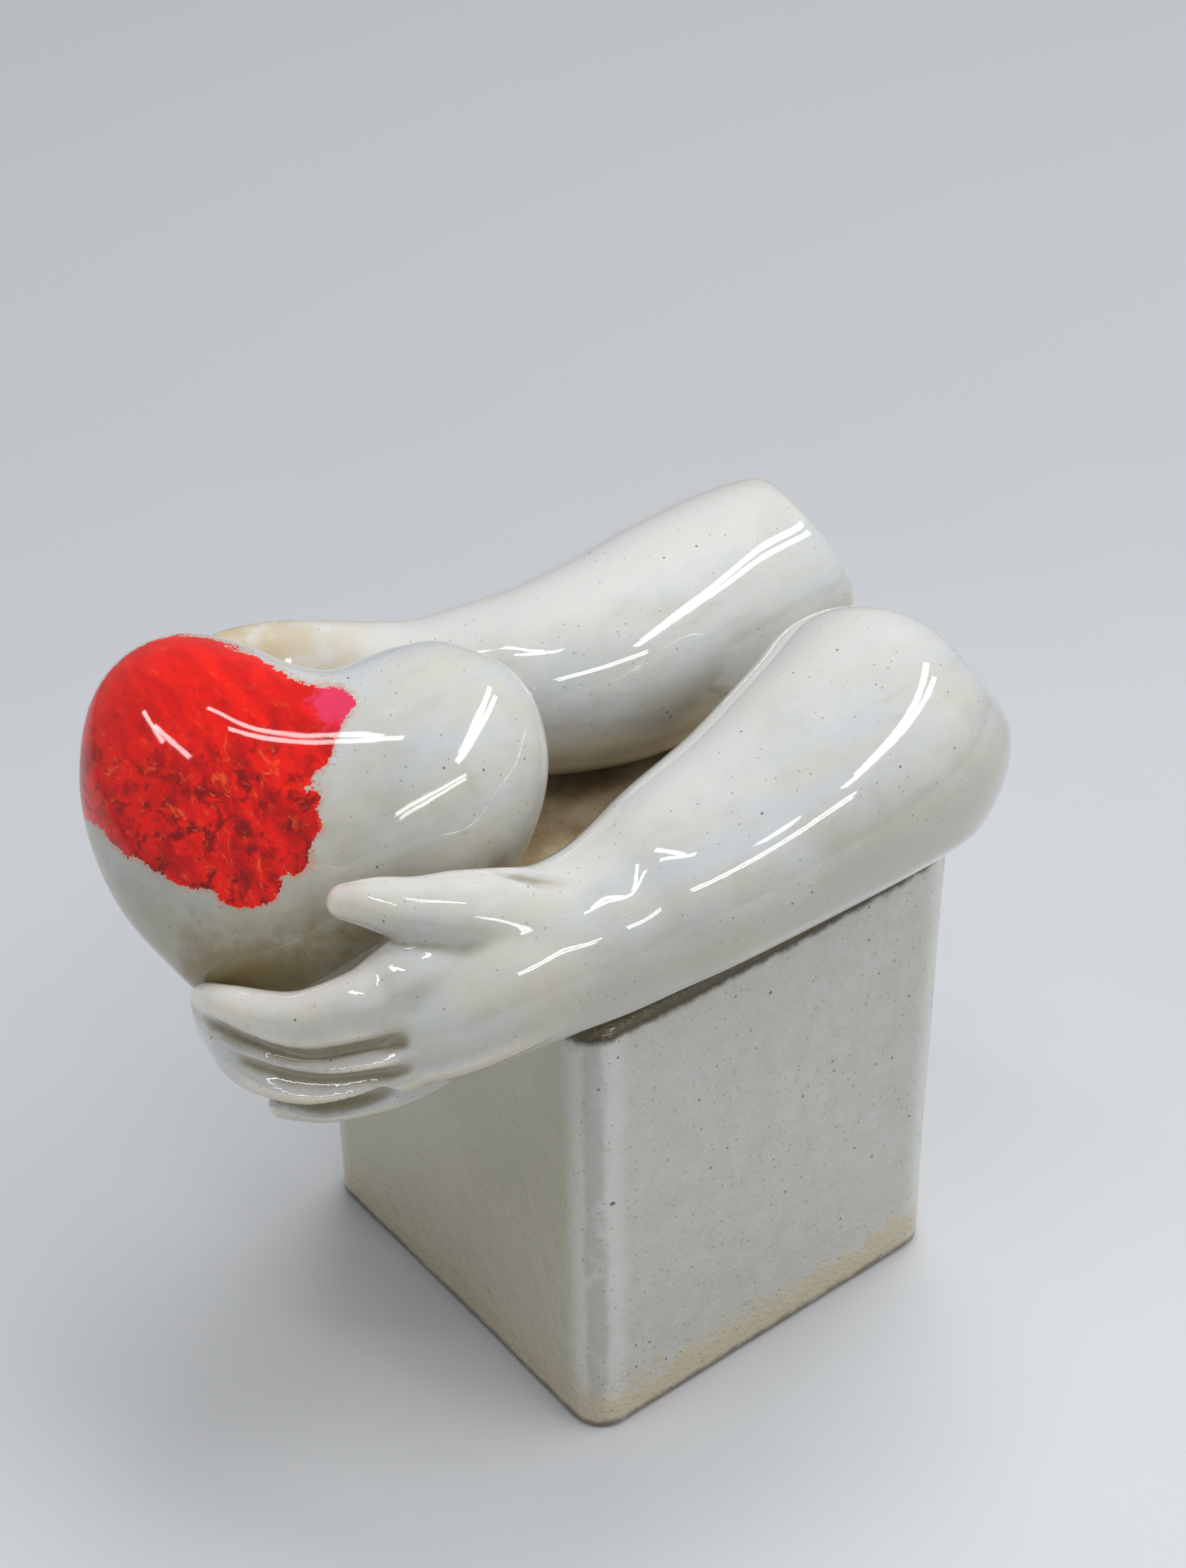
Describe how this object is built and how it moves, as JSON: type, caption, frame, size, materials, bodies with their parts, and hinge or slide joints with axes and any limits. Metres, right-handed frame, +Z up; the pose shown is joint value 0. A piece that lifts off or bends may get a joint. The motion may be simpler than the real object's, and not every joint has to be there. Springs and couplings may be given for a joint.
{
  "type": "ceramic sculpture",
  "caption": "Glazed stoneware sculpture: two forearms lying on a hollow block plinth, their hands cradling a puffy heart with one red lobe.",
  "frame": {"origin": "middle of the plinth's foot, where it stands", "axes": "+Z up, +X along the forearms towards the elbows, +Y from the left forearm towards the right forearm"},
  "size_m": [0.1359, 0.1057, 0.1332],
  "materials": {
    "plinth_glaze": "satin off-white glaze with iron specks, tan where it thins",
    "raw_clay": "unglazed stoneware",
    "white_glaze": "glossy white glaze, warm beige on the ridges",
    "heart_glaze": "glossy white glaze with a brushed red patch under it"
  },
  "bodies": {
    "plinth": {"plinth_front_wall": "plinth_glaze", "plinth_back_wall": "plinth_glaze", "plinth_left_wall": "plinth_glaze", "plinth_right_wall": "plinth_glaze", "plinth_top_slab": "raw_clay", "plinth_base_slab": "raw_clay"},
    "embrace": {"left_forearm": "white_glaze", "right_forearm": "white_glaze", "left_hand": "white_glaze", "right_hand": "white_glaze", "heart_front_shell": "heart_glaze", "heart_back_shell": "heart_glaze"}
  },
  "joints": [
    {"name": "lift_off", "type": "slide", "parent": "plinth", "child": "embrace", "axis": [0, 0, 1], "range_m": [0, 0.12]}
  ]
}
